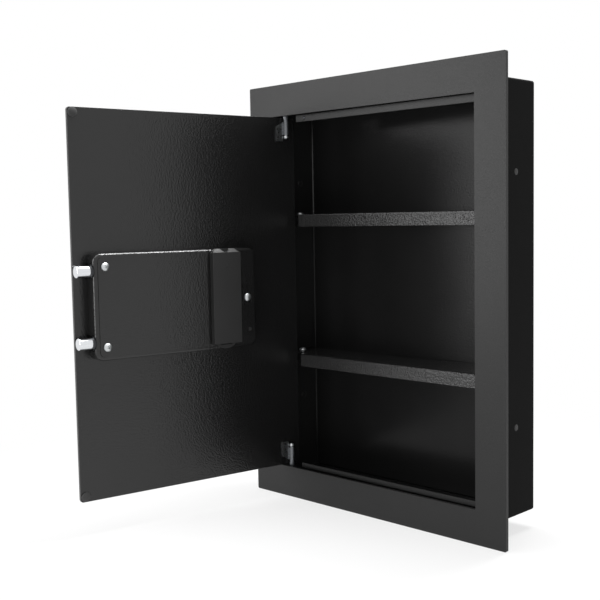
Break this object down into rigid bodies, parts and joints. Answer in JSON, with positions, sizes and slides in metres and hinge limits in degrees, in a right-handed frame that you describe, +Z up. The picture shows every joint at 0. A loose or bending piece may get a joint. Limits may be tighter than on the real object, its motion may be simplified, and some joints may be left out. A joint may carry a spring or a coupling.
{
  "type": "biometric wall safe",
  "caption": "Recessed steel wall safe with a flat wall flange, hinged inset door, shelves, fingerprint reader, key override and motor-driven round bolts under an inner lock cover.",
  "frame": {"origin": "centre of the opening, on the wall's surface, which is the flange's back face", "axes": "+Z up, +Y into the wall, +X to the right when facing the safe"},
  "size_m": [0.394, 0.3849, 0.534],
  "materials": {
    "hammer_black": "semi-gloss black powder coat with an orange-peel texture",
    "satin_black": "satin black powder coat",
    "chromed_steel": "bright chrome plate",
    "zinced_steel": "bright zinc plate",
    "blackened_steel": "black oxide on machined steel",
    "black_plastic": "fine satin moulding",
    "black_rubber": "matt",
    "dark_glass": "polished sensor window",
    "green_lens": "polished lens",
    "green_board": "solder mask",
    "nickel_plate": "nickel plate",
    "brass": "machined",
    "cell_wrap": "printed shrink sleeve, left plain",
    "grey_cable": "smooth insulation"
  },
  "bodies": {
    "cabinet": {"wall_flange": "satin_black", "body_sleeve": "satin_black", "back_pan": "hammer_black", "door_stop_top": "hammer_black", "door_stop_bottom": "hammer_black", "hinge_bracket_top": "hammer_black", "hinge_bracket_bottom": "hammer_black", "hinge_pin_top": "zinced_steel", "hinge_pin_bottom": "zinced_steel", "upper_shelf": "hammer_black", "upper_shelf_bracket_left": "hammer_black", "upper_shelf_bracket_right": "hammer_black", "upper_shelf_screw_left": "zinced_steel", "upper_shelf_screw_right": "zinced_steel", "lower_shelf": "hammer_black", "lower_shelf_bracket_left": "hammer_black", "lower_shelf_bracket_right": "hammer_black", "lower_shelf_screw_left": "zinced_steel", "lower_shelf_screw_right": "zinced_steel"},
    "door": {"door_panel": "hammer_black", "hinge_leaf_top": "zinced_steel", "hinge_leaf_bottom": "zinced_steel", "bumper_pad_top": "black_rubber", "bumper_pad_bottom": "black_rubber", "lock_cover": "hammer_black", "cover_post": "zinced_steel", "cover_screw_1": "zinced_steel", "cover_screw_2": "zinced_steel", "cover_screw_3": "zinced_steel", "bolt_guide_upper": "blackened_steel", "bolt_guide_lower": "blackened_steel", "carriage_stud_1": "zinced_steel", "carriage_stud_2": "zinced_steel", "gear_motor": "nickel_plate", "motor_bracket": "zinced_steel", "key_shell": "nickel_plate", "reader_housing": "black_plastic", "sensor_window": "dark_glass", "status_light": "green_lens", "circuit_board": "green_board", "reader_ribbon": "grey_cable", "battery_lead": "grey_cable", "motor_lead": "grey_cable", "battery_tray": "black_plastic", "battery_contact_top": "nickel_plate", "battery_contact_bottom": "nickel_plate", "battery_cell_1": "cell_wrap", "battery_cell_2": "cell_wrap", "battery_cell_3": "cell_wrap", "battery_cell_4": "cell_wrap", "program_switch": "black_plastic"},
    "bolt_carriage": {"bolt_carriage": "zinced_steel", "live_bolt_upper": "chromed_steel", "live_bolt_lower": "chromed_steel"},
    "drive_pinion": {"drive_pinion": "brass"},
    "key": {"key_plug": "nickel_plate", "key_cam": "zinced_steel"},
    "key_cap": {"key_cap": "black_plastic"},
    "program_button": {"program_button": "black_plastic"},
    "battery_lid": {"battery_lid": "black_plastic"}
  },
  "joints": [
    {"name": "door_swing", "type": "hinge", "parent": "cabinet", "child": "door", "pos_m": [-0.1398, 0.0048, 0], "axis": [0, 0, 1], "range_deg": [-10.5, 99.5]},
    {"name": "bolt_slide", "type": "slide", "parent": "door", "child": "bolt_carriage", "axis": [-0.165, -0.9863, 0], "range_m": [0, 0.011]},
    {"name": "pinion_turn", "type": "hinge", "parent": "door", "child": "drive_pinion", "pos_m": [-0.17314, -0.21653, 0], "axis": [0, 0, 1], "range_deg": [-105.2, 0]},
    {"name": "key_turn", "type": "hinge", "parent": "door", "child": "key", "pos_m": [-0.18605, -0.18193, -0.032], "axis": [0.9863, -0.165, 0], "range_deg": [0, 90]},
    {"name": "key_cap_swing", "type": "hinge", "parent": "door", "child": "key_cap", "pos_m": [-0.18704, -0.18176, -0.0181], "axis": [0.9863, -0.165, 0], "range_deg": [0, 120]},
    {"name": "button_press", "type": "slide", "parent": "door", "child": "program_button", "axis": [-0.9863, 0.165, 0], "range_m": [0, 0.0012], "stiffness_N_per_m": 400, "springref_m": -0.001},
    {"name": "battery_lid_tilt", "type": "hinge", "parent": "door", "child": "battery_lid", "pos_m": [-0.14125, -0.10385, -0.061], "axis": [0.165, 0.9863, 0], "range_deg": [0, 20]}
  ],
  "couplings": [
    {"joint": "pinion_turn", "follows": "bolt_slide", "rad_per_m": -166.67}
  ]
}
